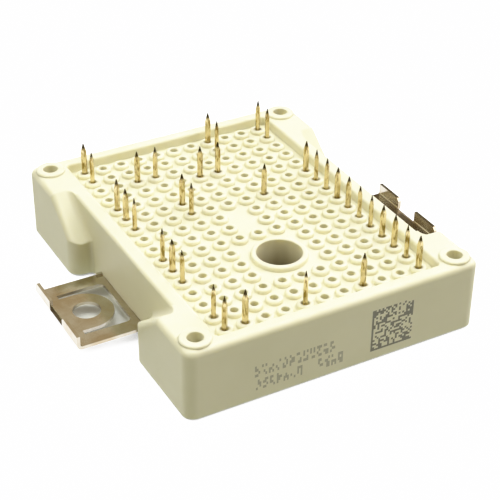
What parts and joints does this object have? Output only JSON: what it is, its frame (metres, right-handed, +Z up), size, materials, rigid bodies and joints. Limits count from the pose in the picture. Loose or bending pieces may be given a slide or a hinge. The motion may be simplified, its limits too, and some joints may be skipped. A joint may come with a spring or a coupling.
{
  "type": "power semiconductor module",
  "caption": "Pin-type power transistor module: a moulded cream housing with a lattice of pin sockets, gilt pins standing out of it, and two stamped screw clamps.",
  "frame": {"origin": "middle of the heat-sink face, where the lower copper meets the heat sink", "axes": "+X from the left clamp to the right clamp, +Y from the front to the rear, +Z up, the way the pins point"},
  "size_m": [0.0628, 0.0566, 0.016],
  "materials": {
    "moulded_pbt": "glass-filled PBT, fine matt moulding",
    "clamp_sheet": "stamped spring strip, dull nickel-brown",
    "alumina": "fired alumina, matt",
    "copper_foil": "bonded copper, satin",
    "chip_silicon": "metallised silicon",
    "thermistor_body": "fired body",
    "bond_aluminium": "drawn wire",
    "sleeve_copper": "turned, plated",
    "potting_gel": "clear soft gel",
    "gilt_pin": "gold-plated copper alloy, bright"
  },
  "bodies": {
    "root": {"housing": "moulded_pbt", "clamp_left": "clamp_sheet", "clamp_right": "clamp_sheet", "ceramic_plate": "alumina", "lower_copper": "copper_foil", "copper_tracks": "copper_foil", "igbt_chip_1": "chip_silicon", "igbt_chip_2": "chip_silicon", "igbt_chip_3": "chip_silicon", "igbt_chip_4": "chip_silicon", "igbt_chip_5": "chip_silicon", "igbt_chip_6": "chip_silicon", "igbt_chip_7": "chip_silicon", "freewheel_diode_1": "chip_silicon", "freewheel_diode_2": "chip_silicon", "freewheel_diode_3": "chip_silicon", "freewheel_diode_4": "chip_silicon", "freewheel_diode_5": "chip_silicon", "freewheel_diode_6": "chip_silicon", "freewheel_diode_7": "chip_silicon", "rectifier_diodes": "chip_silicon", "thermistor": "thermistor_body", "bond_wires": "bond_aluminium", "pin_sleeves": "sleeve_copper", "silicone_gel": "potting_gel", "pin_1": "gilt_pin", "pin_2": "gilt_pin", "pin_3": "gilt_pin", "pin_4": "gilt_pin", "pin_5": "gilt_pin", "pin_6": "gilt_pin", "pin_7": "gilt_pin", "pin_8": "gilt_pin", "pin_9": "gilt_pin", "pin_10": "gilt_pin", "pin_11": "gilt_pin", "pin_12": "gilt_pin", "pin_13": "gilt_pin", "pin_14": "gilt_pin", "pin_15": "gilt_pin", "pin_16": "gilt_pin", "pin_17": "gilt_pin", "pin_18": "gilt_pin", "pin_19": "gilt_pin", "pin_20": "gilt_pin", "pin_21": "gilt_pin", "pin_22": "gilt_pin", "pin_23": "gilt_pin", "pin_24": "gilt_pin", "pin_25": "gilt_pin", "pin_26": "gilt_pin", "pin_27": "gilt_pin", "pin_28": "gilt_pin", "pin_29": "gilt_pin", "pin_30": "gilt_pin", "pin_31": "gilt_pin", "pin_32": "gilt_pin", "pin_33": "gilt_pin", "pin_34": "gilt_pin", "pin_35": "gilt_pin"}
  },
  "joints": []
}
